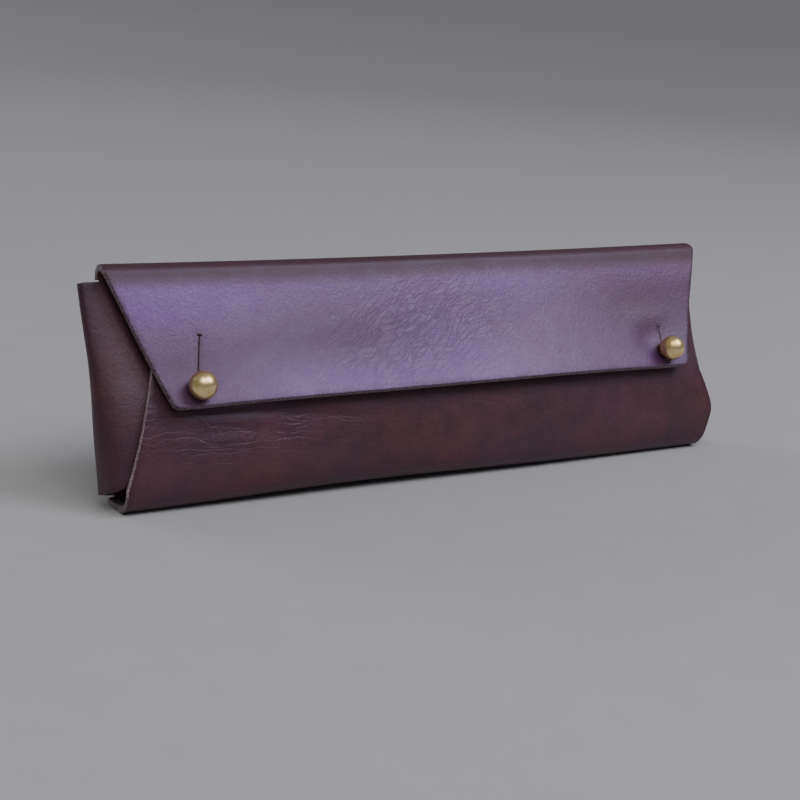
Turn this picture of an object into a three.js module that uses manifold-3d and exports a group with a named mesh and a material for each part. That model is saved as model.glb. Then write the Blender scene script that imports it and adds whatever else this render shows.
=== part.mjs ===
// Soft leather glasses pouch: one folded leather blank held together by two ball studs.
// Millimetres. +X runs along the length, -Y faces the front, +Z is up, and the pouch stands
// on its bottom fold, leaning back. A profile is drawn in the (Y, Z) plane.
import * as THREE from 'three';
import * as BufferGeometryUtils from 'three/addons/utils/BufferGeometryUtils.js';
import Module from 'manifold-3d';

const wasm = await Module();
wasm.setup();

// Driving dimensions
const LEATHER = 1.9;              // thickness of the leather
const GAP = 0.3;                  // clearance between pieces that touch
const LEAN = THREE.MathUtils.degToRad(15);
const BASE_FRONT = 0.5;           // where the flat underside starts and ends, along Y
const BASE_BACK = 10.0;
const FRONT_BEND = 5.2;           // bend radii of the bottom fold, at mid-thickness
const BACK_BEND = 1.8;
const BOTTOM_HALF = 105.8;        // half-length of the bottom fold
const BACK_HALF = 104.4;          // half-length of the back panel
const FRONT_TOP_HALF = 90.4;      // half-length of the front panel's top edge
const ROLL_HALF = 105.2;          // half-length of the top roll
const FLAP_EDGE_HALF = 92.2;      // half-length of the flap's lower edge
const ROLL_RADIUS = 3.0;          // top roll, at mid-thickness
const ROLL_HEIGHT = 65.0;         // roll axis above the base, before the lean
const ROLL_DEPTH = 2.5;
const ROLL_TURN = THREE.MathUtils.degToRad(163);
const FLAP_LENGTH = 40.5;
const FRONT_BELLY = [-9.6, 22];   // front panel's bulge, shoulder and top edge, before the lean
const FRONT_SHOULDER = [-5.9, 36];
const FRONT_TOP = [-1.4, 54];
const BACK_BELLY = [8.6, 18];     // back panel's bulge, before the lean
const BACK_STRAIGHT = 42;         // height above which the back panel runs straight
const TURN_LOW = ROLL_TURN / 4;   // where the roll's two flex lines lie, round its axis
const TURN_HIGH = ROLL_TURN * 3 / 4;
const STUD_X = 84.3;
const STUD_SHARE = 0.55;          // stud's place up the front panel, as a share of its length
const BALL_RADIUS = 4.0;
const NECK_RADIUS = 1.9;
const FLANGE_RADIUS = 3.6;
const FLANGE_THICK = 0.9;
const SHANK_RADIUS = 1.3;
const SCREW_HEAD_RADIUS = 4.2;
const SCREW_HEAD_THICK = 1.2;
const SCREW_SLOT = [6.4, 1.0, 0.6];
const FLAP_HOLE_RADIUS = 4.6;
const SLIT_LENGTH = 9.2;
const SLIT_WIDTH = 0.5;
const BALL_CENTRE = 8.4;          // from the front panel's mid-thickness
const GUSSET_LOW = 6.5;           // gusset's lower and upper edges, before the lean
const GUSSET_HIGH = 62.0;
const GUSSET_BEND = 3.3;
const GUSSET_SIDE = 109.0;        // gusset's outermost place, at mid-thickness
const GUSSET_TUCK = 3.0;          // how far behind the front panel's edge it is flat
const TUCK_DEPTH = LEATHER + 0.45;
const GUSSET_END = 75.0;          // where the gusset's hidden end stops, along X
const GUSSET_END_LOW = 16.0;
const GUSSET_END_HIGH = 47.0;
const GUSSET_STEPS_ROUND = 30;
const GUSSET_STEPS_UP = 14;

const HALF = LEATHER / 2;

const leatherSkin = () => new THREE.MeshStandardMaterial({
  color: 0x4a2b30, roughness: 0.45, metalness: 0,
});
const brass = () => new THREE.MeshStandardMaterial({
  color: 0xc09a52, roughness: 0.32, metalness: 1,
});

// A point given upright, in (Y, Z), leaned back with the pouch.
function leaned(y, z) {
  return new THREE.Vector2(
    y * Math.cos(LEAN) + z * Math.sin(LEAN),
    z * Math.cos(LEAN) - y * Math.sin(LEAN),
  );
}

// Mid-thickness profiles of the folded blank.
const rollCentre = leaned(ROLL_DEPTH, ROLL_HEIGHT);

function rollPoint(turn, radius = ROLL_RADIUS) {
  const angle = turn - LEAN;
  return new THREE.Vector2(
    rollCentre.x + radius * Math.cos(angle),
    rollCentre.y + radius * Math.sin(angle),
  );
}

function bottomProfile() {
  const path = new THREE.Path();
  path.absarc(BASE_FRONT, HALF + FRONT_BEND, FRONT_BEND, Math.PI, 1.5 * Math.PI, false);
  path.absarc(BASE_BACK, HALF + BACK_BEND, BACK_BEND, 1.5 * Math.PI, 2 * Math.PI, false);
  return path;
}

function frontProfile() {
  const start = new THREE.Vector2(BASE_FRONT - FRONT_BEND, HALF + FRONT_BEND);
  const belly = leaned(...FRONT_BELLY);
  const shoulder = leaned(...FRONT_SHOULDER);
  const end = leaned(...FRONT_TOP);
  const path = new THREE.Path();
  path.moveTo(start.x, start.y);
  path.bezierCurveTo(start.x, start.y + 7, belly.x, belly.y, shoulder.x, shoulder.y);
  path.lineTo(end.x, end.y);
  return path;
}

function backProfile(seamTurn) {
  const start = new THREE.Vector2(BASE_BACK + BACK_BEND, HALF + BACK_BEND);
  const low = leaned(...BACK_BELLY);
  const high = leaned(ROLL_DEPTH + ROLL_RADIUS, BACK_STRAIGHT);
  const end = rollPoint(0);
  const path = new THREE.Path();
  path.moveTo(start.x, start.y);
  path.bezierCurveTo(low.x, low.y, high.x, high.y, end.x, end.y);
  path.absarc(rollCentre.x, rollCentre.y, ROLL_RADIUS, -LEAN, seamTurn - LEAN, false);
  return path;
}

function flapProfile(seamTurn) {
  const end = rollPoint(ROLL_TURN);
  const heading = ROLL_TURN - LEAN + Math.PI / 2;
  const path = new THREE.Path();
  path.absarc(
    rollCentre.x, rollCentre.y, ROLL_RADIUS, seamTurn - LEAN, ROLL_TURN - LEAN, false,
  );
  path.lineTo(
    end.x + FLAP_LENGTH * Math.cos(heading),
    end.y + FLAP_LENGTH * Math.sin(heading),
  );
  return path;
}

function topFoldProfile(fromTurn, toTurn) {
  const path = new THREE.Path();
  path.absarc(
    rollCentre.x, rollCentre.y, ROLL_RADIUS, fromTurn - LEAN, toTurn - LEAN, false,
  );
  return path;
}

// A leather sheet: surface(u, v) is its mid-thickness, and it is thickened along the normal.
function sheetGeometry(surface, stepsU, stepsV) {
  const geometry = new THREE.BoxGeometry(1, 1, 1, stepsU, stepsV, 1);
  geometry.deleteAttribute('normal');
  geometry.deleteAttribute('uv');
  const merged = BufferGeometryUtils.mergeVertices(geometry, 1e-4);
  const position = merged.attributes.position;
  const nudge = 1e-3;
  for (let i = 0; i < position.count; i += 1) {
    const u = position.getX(i) + 0.5;
    const v = position.getY(i) + 0.5;
    const u0 = Math.max(u - nudge, 0);
    const u1 = Math.min(u + nudge, 1);
    const v0 = Math.max(v - nudge, 0);
    const v1 = Math.min(v + nudge, 1);
    const alongU = surface(u1, v).sub(surface(u0, v));
    const alongV = surface(u, v1).sub(surface(u, v0));
    const normal = alongU.cross(alongV).normalize();
    const point = surface(u, v).addScaledVector(normal, position.getZ(i) * LEATHER);
    position.setXYZ(i, point.x, point.y, point.z);
  }
  return merged;
}

// A panel whose section is the same all along X and whose half-length may change up the profile.
// It stops short of its neighbours by half a gap at each end.
function panelGeometry(profile, startHalf, endHalf, steps, stepsX = 1) {
  const length = profile.getLength();
  const trim = GAP / 2 / length;
  return sheetGeometry((u, v) => {
    const share = trim + v * (1 - 2 * trim);
    const point = profile.getPointAt(share);
    const half = THREE.MathUtils.lerp(startHalf, endHalf, share);
    return new THREE.Vector3((2 * u - 1) * half, point.x, point.y);
  }, stepsX, steps);
}

// Solids for cutting and joining
function toSolid(geometry) {
  const plain = geometry.clone();
  plain.deleteAttribute('normal');
  plain.deleteAttribute('uv');
  const merged = BufferGeometryUtils.mergeVertices(plain, 1e-4);
  const indices = merged.index.array;
  return new wasm.Manifold(new wasm.Mesh({
    numProp: 3,
    vertProperties: new Float32Array(merged.attributes.position.array),
    triVerts: new Uint32Array(indices),
  }));
}

function toGeometry(solid) {
  const mesh = solid.getMesh();
  const geometry = new THREE.BufferGeometry();
  geometry.setAttribute('position', new THREE.BufferAttribute(mesh.vertProperties, 3));
  geometry.setIndex(new THREE.BufferAttribute(mesh.triVerts, 1));
  return geometry;
}

function cut(geometry, tools) {
  let solid = toSolid(geometry);
  for (const tool of tools) solid = solid.subtract(toSolid(tool));
  return toGeometry(solid);
}

// The stud's own frame: its origin is on the front panel's mid-thickness, X runs along the
// pouch, Y up the panel and Z out of it.
function studMatrix(side) {
  const profile = frontProfile();
  const point = profile.getPointAt(STUD_SHARE);
  const tangent = profile.getTangentAt(STUD_SHARE);
  return new THREE.Matrix4().makeBasis(
    new THREE.Vector3(1, 0, 0),
    new THREE.Vector3(0, tangent.x, tangent.y),
    new THREE.Vector3(0, -tangent.y, tangent.x),
  ).setPosition(side * STUD_X, point.x, point.y);
}

// A rod along the stud's axis, between two distances from its origin.
function studRod(radius, from, to, segments = 24) {
  const geometry = new THREE.CylinderGeometry(radius, radius, to - from, segments);
  geometry.rotateX(Math.PI / 2);
  geometry.translate(0, 0, (from + to) / 2);
  return geometry;
}

// Through holes for the screw shanks, in the front panel and the gussets.
function shankHole(side) {
  return studRod(SHANK_RADIUS + GAP, -8, 8).applyMatrix4(studMatrix(side));
}

// Buttonhole of the flap: a round hole that passes the ball, with a slit above it.
function buttonhole(side) {
  const hole = studRod(FLAP_HOLE_RADIUS, 0, 14).applyMatrix4(studMatrix(side));
  const slit = new THREE.BoxGeometry(SLIT_WIDTH, SLIT_LENGTH + 1, 14);
  slit.translate(0, FLAP_HOLE_RADIUS + SLIT_LENGTH / 2 - 0.5, 7);
  return [hole, slit.applyMatrix4(studMatrix(side))];
}

// Leather pieces
function backPanel() {
  return panelGeometry(backProfile(TURN_LOW), BACK_HALF, BACK_HALF, 22);
}

function bottomFold() {
  return panelGeometry(bottomProfile(), BOTTOM_HALF, BOTTOM_HALF, 22);
}

function frontPanel() {
  const panel = panelGeometry(frontProfile(), BOTTOM_HALF, FRONT_TOP_HALF, 18);
  return cut(panel, [shankHole(-1), shankHole(1)]);
}

function topFold() {
  return panelGeometry(topFoldProfile(TURN_LOW, TURN_HIGH), ROLL_HALF, ROLL_HALF, 8);
}

function flap() {
  const panel = panelGeometry(flapProfile(TURN_HIGH), ROLL_HALF, FLAP_EDGE_HALF, 12);
  return cut(panel, [...buttonhole(-1), ...buttonhole(1)]);
}

// The share of a profile at which it reaches a height, before the lean. It may run past the end.
function shareAtHeight(profile, height) {
  const upright = (share) => {
    const point = profile.getPointAt(share);
    return point.x * Math.sin(LEAN) + point.y * Math.cos(LEAN);
  };
  const top = upright(1);
  if (height > top) return 1 + (height - top) / profile.getLength();
  let low = 0;
  let high = 1;
  for (let i = 0; i < 24; i += 1) {
    const middle = (low + high) / 2;
    if (upright(middle) < height) low = middle;
    else high = middle;
  }
  return low;
}

// A point beside a profile, moved to its inner side, which is +Y of a profile that climbs.
function besideProfile(profile, share, inward) {
  const inside = Math.min(share, 1);
  const tangent = profile.getTangentAt(inside);
  const beyond = (share - inside) * profile.getLength();
  return profile.getPointAt(inside)
    .addScaledVector(tangent, beyond)
    .add(new THREE.Vector2(tangent.y, -tangent.x).multiplyScalar(inward));
}

// Section of a gusset seen from above: X against the depth from the back panel.
function gussetOutline(depth, frontHalf) {
  const bend = Math.min(GUSSET_BEND, depth * 0.45);
  const side = GUSSET_SIDE - bend;
  const tuck = frontHalf - GUSSET_TUCK;
  const path = new THREE.Path();
  path.moveTo(BACK_HALF + GAP, 0);
  path.lineTo(side, 0);
  path.absarc(side, bend, bend, -Math.PI / 2, 0, false);
  path.bezierCurveTo(GUSSET_SIDE, depth * 0.8, tuck + 5, depth, tuck, depth);
  path.lineTo(GUSSET_END, depth);
  return path;
}

// Gusset: it starts beside the back panel, bends forward and is tucked behind the front panel.
// One row runs from the back seam to the hidden end, at one height.
function gussetRow(back, front, v, steps) {
  const height = THREE.MathUtils.lerp(GUSSET_LOW, GUSSET_HIGH, v);
  const hiddenHeight = THREE.MathUtils.lerp(GUSSET_END_LOW, GUSSET_END_HIGH, v);
  const backPoint = besideProfile(back, shareAtHeight(back, height), 0);
  const row = [];
  const frontAt = (share) => {
    const eased = THREE.MathUtils.smoothstep(share, 0.5, 1);
    return shareAtHeight(front, THREE.MathUtils.lerp(height, hiddenHeight, eased));
  };
  const firstShare = frontAt(0);
  const depth = besideProfile(front, firstShare, TUCK_DEPTH).distanceTo(backPoint);
  const half = THREE.MathUtils.lerp(BOTTOM_HALF, FRONT_TOP_HALF, firstShare);
  const outline = gussetOutline(depth, half);
  for (let i = 0; i <= steps; i += 1) {
    const place = outline.getPointAt(i / steps);
    const frontPoint = besideProfile(front, frontAt(i / steps), TUCK_DEPTH);
    const point = backPoint.clone().lerp(frontPoint, place.y / depth);
    row.push(new THREE.Vector3(place.x, point.x, point.y));
  }
  return row;
}

function gusset(side) {
  const back = backProfile(0);
  const front = frontProfile();
  const rows = [];
  for (let i = 0; i <= GUSSET_STEPS_UP; i += 1) {
    rows.push(gussetRow(back, front, i / GUSSET_STEPS_UP, GUSSET_STEPS_ROUND));
  }
  const at = (u, v) => {
    const place = side > 0 ? 1 - u : u;
    const column = Math.min(place * GUSSET_STEPS_ROUND, GUSSET_STEPS_ROUND - 1e-6);
    const line = Math.min(v * GUSSET_STEPS_UP, GUSSET_STEPS_UP - 1e-6);
    const [i, j] = [Math.floor(line), Math.floor(column)];
    const [s, t] = [line - i, column - j];
    const low = rows[i][j].clone().lerp(rows[i][j + 1], t);
    const high = rows[i + 1][j].clone().lerp(rows[i + 1][j + 1], t);
    const point = low.lerp(high, s);
    point.x *= side;
    return point;
  };
  const geometry = sheetGeometry(at, GUSSET_STEPS_ROUND, GUSSET_STEPS_UP);
  return cut(geometry, [shankHole(side)]);
}

// Metal pieces, along the stud's axis from the front panel's mid-thickness
function studBall() {
  const under = HALF + GAP;
  const flangeTop = under + FLANGE_THICK;
  const neckTop = BALL_CENTRE - Math.sqrt(BALL_RADIUS ** 2 - NECK_RADIUS ** 2);
  const boreTop = neckTop + 1;
  const profile = new THREE.Path();
  profile.moveTo(0, boreTop);
  profile.lineTo(SHANK_RADIUS + GAP, boreTop);
  profile.lineTo(SHANK_RADIUS + GAP, under);
  profile.lineTo(FLANGE_RADIUS, under);
  profile.lineTo(FLANGE_RADIUS, flangeTop);
  profile.lineTo(NECK_RADIUS, flangeTop);
  profile.lineTo(NECK_RADIUS, neckTop);
  const start = Math.atan2(neckTop - BALL_CENTRE, NECK_RADIUS);
  profile.absarc(0, BALL_CENTRE, BALL_RADIUS, start, Math.PI / 2, false);
  const geometry = new THREE.LatheGeometry(profile.getPoints(14), 28);
  return geometry.rotateX(Math.PI / 2);
}

function studScrew() {
  const headTop = -TUCK_DEPTH - HALF - GAP;
  const shankTop = BALL_CENTRE - BALL_RADIUS + 1;
  const head = studRod(SCREW_HEAD_RADIUS, headTop - SCREW_HEAD_THICK, headTop, 28);
  const shank = studRod(SHANK_RADIUS, headTop - SCREW_HEAD_THICK / 2, shankTop, 20);
  const slot = new THREE.BoxGeometry(...SCREW_SLOT);
  slot.translate(0, 0, headTop - SCREW_HEAD_THICK);
  return toGeometry(toSolid(head).add(toSolid(shank)).subtract(toSolid(slot)));
}

// Assembly
const pouch = new THREE.Group();

function place(name, geometry, material, parent = pouch) {
  const mesh = new THREE.Mesh(geometry, material);
  mesh.name = name;
  parent.add(mesh);
}

place('back_panel', backPanel(), leatherSkin());
place('bottom_fold', bottomFold(), leatherSkin());
place('front_panel', frontPanel(), leatherSkin());
place('top_fold', topFold(), leatherSkin());
place('flap', flap(), leatherSkin());
for (const [label, side] of [['left', -1], ['right', 1]]) {
  place(`${label}_gusset`, gusset(side), leatherSkin());
  const stud = new THREE.Group();
  stud.applyMatrix4(studMatrix(side));
  pouch.add(stud);
  place(`${label}_stud_ball`, studBall(), brass(), stud);
  place(`${label}_stud_screw`, studScrew(), brass(), stud);
}

// The origin is the middle of the bounding box, on the surface that the pouch stands on.
const middle = new THREE.Box3().setFromObject(pouch, true).getCenter(new THREE.Vector3());
pouch.position.set(0, -middle.y, 0);

export default pouch;
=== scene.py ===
"""A soft leather glasses pouch: one folded leather blank, held by two brass ball studs."""
import math

import bmesh
import bpy
import numpy as np
from mathutils import Matrix, Vector
from mathutils.geometry import delaunay_2d_cdt


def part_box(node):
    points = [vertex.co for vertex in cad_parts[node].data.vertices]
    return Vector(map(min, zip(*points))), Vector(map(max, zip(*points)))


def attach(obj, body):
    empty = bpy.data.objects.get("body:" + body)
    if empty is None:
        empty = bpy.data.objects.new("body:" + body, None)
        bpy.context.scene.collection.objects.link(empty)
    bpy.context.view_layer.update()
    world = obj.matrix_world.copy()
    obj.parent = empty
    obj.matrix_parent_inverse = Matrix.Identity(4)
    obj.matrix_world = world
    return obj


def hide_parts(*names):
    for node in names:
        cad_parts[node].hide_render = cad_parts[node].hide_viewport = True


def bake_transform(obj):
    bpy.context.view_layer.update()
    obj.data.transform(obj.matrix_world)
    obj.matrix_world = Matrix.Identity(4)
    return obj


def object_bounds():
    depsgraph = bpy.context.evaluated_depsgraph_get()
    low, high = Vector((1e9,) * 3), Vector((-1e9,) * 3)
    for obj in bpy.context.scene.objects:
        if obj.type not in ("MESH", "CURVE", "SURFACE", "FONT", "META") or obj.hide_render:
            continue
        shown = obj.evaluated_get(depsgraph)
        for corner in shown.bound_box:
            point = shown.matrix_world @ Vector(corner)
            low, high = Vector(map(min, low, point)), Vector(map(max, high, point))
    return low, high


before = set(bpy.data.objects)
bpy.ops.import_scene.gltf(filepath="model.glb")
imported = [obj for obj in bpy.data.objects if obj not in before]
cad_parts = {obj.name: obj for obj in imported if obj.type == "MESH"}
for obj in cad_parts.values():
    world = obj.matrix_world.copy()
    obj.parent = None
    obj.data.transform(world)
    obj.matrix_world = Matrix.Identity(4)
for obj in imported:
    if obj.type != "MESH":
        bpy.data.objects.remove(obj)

CAD_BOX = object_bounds()
MM = 0.001

# Sizes in millimetres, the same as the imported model's
LEATHER = 1.9
HALF = LEATHER / 2
LEAN = math.radians(15)
BASE_FRONT, BASE_BACK = 0.5, 10.0
FRONT_BEND, BACK_BEND = 5.2, 1.8
ROLL_RADIUS = 3.0
ROLL_AXIS = (2.5, 65.0)
ROLL_TURN = math.radians(163)
FLAP_LENGTH = 40.5
STUD_X = 84.3
BALL_RADIUS = 4.0
BALL_CENTRE = 8.4                 # above the front panel's mid-thickness
TUCK = LEATHER + 0.25             # from the front panel to the tucked gusset, middle to middle
FRONT_TOP_HALF = 90.4
FLAP_EDGE_HALF = 92.2

# Bending points of the upright profile, as (Y, Z): the front's and the back's
FRONT_TOP, SHOULDER, BELLY = (-1.4, 54), (-5.9, 36), (-9.6, 22)
BACK_LOW, BACK_HIGH = (8.6, 18), (ROLL_AXIS[0] + ROLL_RADIUS, 42)

# Half-lengths of the blank along X and its shift to the frame's Y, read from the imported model
BOTTOM_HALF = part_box("bottom_fold")[1].x / MM
ROLL_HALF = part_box("top_fold")[1].x / MM
BACK_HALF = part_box("back_panel")[1].x / MM
GUSSET_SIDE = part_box("right_gusset")[1].x / MM - HALF
SHIFT_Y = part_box("bottom_fold")[0].y / MM - (BASE_FRONT - FRONT_BEND - HALF)


# Folded profile of the blank, in the (Y, Z) plane
def leaned(y, z):
    """A point given upright, leaned back with the pouch."""
    return np.array([
        y * math.cos(LEAN) + z * math.sin(LEAN),
        z * math.cos(LEAN) - y * math.sin(LEAN),
    ])


def upright_height(points):
    """How high points of the leaned pouch are once it is stood upright."""
    return points[..., 0] * math.sin(LEAN) + points[..., 1] * math.cos(LEAN)


def smooth(x, low, high):
    """0 below low and 1 above high, with a soft step between."""
    t = np.clip((x - low) / (high - low), 0, 1)
    return t * t * (3 - 2 * t)


def hump(x, centre, width):
    return np.exp(-((x - centre) / width) ** 2)


def bezier(a, b, c, d, count=120):
    t = np.linspace(0, 1, count)[:, None]
    return (1 - t) ** 3 * a + 3 * (1 - t) ** 2 * t * b + 3 * (1 - t) * t ** 2 * c + t ** 3 * d


def arc(centre, radius, start, end, count=80):
    t = np.linspace(start, end, count)
    return np.stack([centre[0] + radius * np.cos(t), centre[1] + radius * np.sin(t)], -1)


def front_points():
    """Front panel, from its hidden top edge down to the bottom fold."""
    low = np.array([BASE_FRONT - FRONT_BEND, HALF + FRONT_BEND])
    shoulder = leaned(*SHOULDER)
    belly = bezier(low, low + (0, 7), leaned(*BELLY), shoulder)
    neck = np.linspace(shoulder, leaned(*FRONT_TOP), 60)
    return np.concatenate([belly, neck])[::-1]


def bottom_points():
    front = arc((BASE_FRONT, HALF + FRONT_BEND), FRONT_BEND, math.pi, 1.5 * math.pi)
    back = arc((BASE_BACK, HALF + BACK_BEND), BACK_BEND, 1.5 * math.pi, 2 * math.pi)
    return np.concatenate([front, back])


def back_points():
    low = np.array([BASE_BACK + BACK_BEND, HALF + BACK_BEND])
    high = leaned(ROLL_AXIS[0] + ROLL_RADIUS, ROLL_AXIS[1])
    return bezier(low, leaned(*BACK_LOW), leaned(*BACK_HIGH), high)


def roll_points():
    return arc(leaned(*ROLL_AXIS), ROLL_RADIUS, -LEAN, ROLL_TURN - LEAN)


def flap_points():
    """Front of the flap, which curls outward a little towards its lower edge."""
    start = roll_points()[-1]
    heading = ROLL_TURN - LEAN + math.pi / 2
    along = np.array([math.cos(heading), math.sin(heading)])
    outward = np.array([along[1], -along[0]])
    t = np.linspace(0, 1, 120)[:, None]
    curl = 1.3 * t ** 5 - 0.5 * np.sin(math.pi * t) ** 2
    return start + along * t * FLAP_LENGTH + outward * curl


class Profile:
    """The blank's mid-thickness from the front panel's top edge, round the pouch, to the flap's
    lower edge. Places on it are given by s, the length of leather from that first edge."""

    def __init__(self):
        stretches = [front_points(), bottom_points(), back_points(), roll_points(), flap_points()]
        points = np.concatenate(stretches)
        steps = np.linalg.norm(np.diff(points, axis=0), axis=1)
        points = points[np.concatenate([[True], steps > 1e-6])]
        s = self.lengths(points)
        self.s = np.arange(0, s[-1], 0.1)
        self.points = np.stack([np.interp(self.s, s, points[:, k]) for k in (0, 1)], -1)
        self.points = self.smoothed(self.points, 7)
        self.tangents = np.gradient(self.points, self.s, axis=0)
        self.tangents /= np.linalg.norm(self.tangents, axis=1)[:, None]
        ends = np.cumsum([self.lengths(part)[-1] for part in stretches])
        self.front_end, self.bottom_end, self.back_end, self.roll_end = ends[:4]
        self.end = self.s[-1]

    @staticmethod
    def lengths(points):
        """Length of leather from the first point to each point."""
        return np.concatenate([[0], np.cumsum(np.linalg.norm(np.diff(points, axis=0), axis=1))])

    @staticmethod
    def smoothed(points, width):
        """Evens out the small kinks where two stretches meet."""
        kernel = np.exp(-np.linspace(-2, 2, 2 * width + 1) ** 2)
        kernel /= kernel.sum()
        padded = np.concatenate([
            2 * points[0] - points[width:0:-1], points, 2 * points[-1] - points[-2:-width - 2:-1],
        ])
        return np.stack([np.convolve(padded[:, k], kernel, "valid") for k in (0, 1)], -1)

    def at(self, s):
        return np.stack([np.interp(s, self.s, self.points[:, k]) for k in (0, 1)], -1)

    def outward(self, s):
        """Normal of the grain side."""
        t = np.stack([np.interp(s, self.s, self.tangents[:, k]) for k in (0, 1)], -1)
        return np.stack([t[..., 1], -t[..., 0]], -1)

    def s_at_height(self, height, low, high):
        """Where the stretch between low and high reaches an upright height."""
        s = np.linspace(low, high, 600)
        heights = upright_height(self.at(s))
        order = np.argsort(heights)
        return np.interp(height, heights[order], s[order])

    def s_crossing(self, start, axis):
        """Where the flap meets the line from start along axis."""
        s = np.arange(self.roll_end, self.end, 0.02)
        away = self.at(s) - start
        return float(s[np.argmin(np.abs(away[:, 0] * axis[1] - away[:, 1] * axis[0]))])


PROFILE = Profile()


# Shape of the closed pouch: the folded profile with its pinched ends, sags and swells
HINGE = BACK_HALF                 # the gussets start to bend here
END_PINCH = 4.0                   # how much narrower the bottom fold is at its two ends
ARCH, SAG = 1.2, 0.7              # the bottom fold lifts, and the top roll sinks, by so much
GUSSET_LOW, GUSSET_HIGH = 5.8, 64.2
GUSSET_TIP_LOW, GUSSET_TIP_HIGH = 16, 47
GUSSET_BEND = 3.3
GUSSET_LENGTH = 37.0
NOTCH = 0.8                       # small cut between a gusset and the bottom fold
RIGHT_EXTRA = 3.6                 # the flap is cut a little wider at its right end
S_SEAM = PROFILE.back_end + 0.6   # the blank's body ends and the soft top bend starts
S_ROLL_TOP = PROFILE.back_end + ROLL_RADIUS * ROLL_TURN / 2

# The studs: the balls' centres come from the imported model, and their axis runs from the front
# panel's mid-thickness through them
S_STUD = PROFILE.front_end * 0.45
BALL_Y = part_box("right_stud_ball")[0].y / MM + BALL_RADIUS - SHIFT_Y
BALL_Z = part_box("right_stud_ball")[1].z / MM - BALL_RADIUS
STUD_AXIS = (np.array([BALL_Y, BALL_Z]) - PROFILE.at(S_STUD)) / BALL_CENTRE
S_FLAP_STUD = PROFILE.s_crossing(PROFILE.at(S_STUD), STUD_AXIS)


# Wrinkles: (height above the fold, middle in X, length, depth), and (place across the slant,
# middle in X, share of the way down the flap, depth)
WRINKLES_FRONT = [
    (22.8, -78, 20, 0.20), (20.0, -70, 26, 0.30), (17.0, -80, 22, 0.24), (14.0, -66, 24, 0.16),
    (10.0, -74, 18, 0.10), (18.6, -36, 20, 0.12),
]
WRINKLES_FLAP = [
    (4, -9, 0.62, 0.035), (9.5, -2, 0.40, 0.05), (14.5, 9, 0.70, 0.045), (17.5, 2, 0.35, 0.05),
    (22, 12, 0.55, 0.055), (25.5, 22, 0.35, 0.04), (31, 21, 0.66, 0.05), (38, 36, 0.5, 0.03),
    (-4, -20, 0.5, 0.03),
]


def swell(x, s):
    """How far the leather stands out of its plain profile, along its grain side's normal."""
    along_front = PROFILE.front_end - s
    front = smooth(s, 0, 14) * (1 - smooth(s, PROFILE.front_end, PROFILE.front_end + 6))
    flap = smooth(s, PROFILE.roll_end, PROFILE.roll_end + 14)
    down = (s - PROFILE.roll_end) / FLAP_LENGTH
    out = 0.5 * front * np.cos(x / 60.0)
    out += front * 0.22 * np.sin(x / 13.0 + along_front / 9.0 + 0.7) * hump(x, -55, 38)
    out += front * 0.3 * np.sin(x / 21.0 - along_front / 14.0) * hump(x, 40, 60)
    # The studs hold the leather down, and beside the right one the flap has a dent below a bump
    for side in (-1, 1):
        out -= flap * 0.4 * hump(np.hypot(x - side * STUD_X, s - S_FLAP_STUD), 0, 13)
        out *= 1 - 0.9 * front * hump(x, side * STUD_X, 9) * hump(s, S_STUD, 9)
    dent = hump(x, STUD_X - 5, 5) * hump(s, S_FLAP_STUD - 4.5, 4)
    out -= flap * (0.45 * dent - 0.2 * hump(x, STUD_X - 3, 7) * hump(s, S_FLAP_STUD - 12, 3))
    out += flap * 0.45 * np.cos(x / 46.0) * down
    out += flap * 0.16 * np.sin(x / 9.0 + down * 3.0) * hump(x, 15, 45) * hump(down, 0.6, 0.35)
    out += flap * 0.20 * np.sin(x / 17.0 - down * 2.0 + 1.1)
    # Long level wrinkles under the flap at the left, and slanting ones in the flap's middle
    for level, middle, length, depth in WRINKLES_FRONT:
        line = level + 1.0 * np.sin(x / 12.0 + level) - 0.05 * (x + 70)
        out -= front * depth * hump(along_front, line, 0.9) * hump(x, middle, length)
        out += front * depth * 0.6 * hump(along_front, line + 1.9, 1.3) * hump(x, middle, length)
    across = (x + 14) * 0.62 + (s - PROFILE.roll_end) * 0.78
    for at, centre_x, centre_down, depth in WRINKLES_FLAP:
        line = at + 1.1 * np.sin(x / 4.3 + at * 2.3) + 0.6 * np.sin(x / 1.9 + at)
        reach = hump(x, centre_x - 14, 11) * hump(down, centre_down, 0.22)
        out -= flap * depth * hump(across, line, 0.8) * reach
        out += flap * depth * 0.7 * hump(across, line + 2.0, 1.2) * reach
    return out


def fold_strip(x, s):
    """Mid-thickness of the folded strip, from the front panel round to the flap."""
    place = PROFILE.at(s) + PROFILE.outward(s) * swell(x, s)[..., None]
    y, z = place[..., 0].copy(), place[..., 1].copy()
    behind = (s > PROFILE.front_end) & (s < PROFILE.roll_end)
    ends = smooth(np.abs(x), 74, 102)
    depth = np.clip((y - BASE_FRONT) / (BASE_BACK + BACK_BEND - BASE_FRONT), 0, 1)
    y -= behind * END_PINCH * ends * depth * (1 - smooth(z, 12, 56))
    z += ARCH * hump(x, -30, 50) * (1 - smooth(z, 1, 18)) * (1 - smooth(y, 1, 9))
    z -= SAG * (1 - (x / ROLL_HALF) ** 2) * smooth(z, 44, 64)
    return np.stack([np.broadcast_to(x, y.shape), y, z], -1)


def gusset_outline(depth, tuck_x, side_x):
    """A gusset seen from above, as X against the depth from the back panel."""
    bend = min(GUSSET_BEND, depth * 0.45)
    start = np.array([[HINGE, 0.0]])
    corner = arc((side_x - bend, bend), bend, -math.pi / 2, 0, 40)
    front = bezier(
        np.array([side_x, bend]), np.array([side_x - 0.3, depth * 0.8]),
        np.array([tuck_x + 5.0, depth]), np.array([tuck_x, depth]),
    )
    end = np.array([[tuck_x - GUSSET_LENGTH - 3, depth]])
    return np.concatenate([start, corner, front[1:], end])


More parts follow.
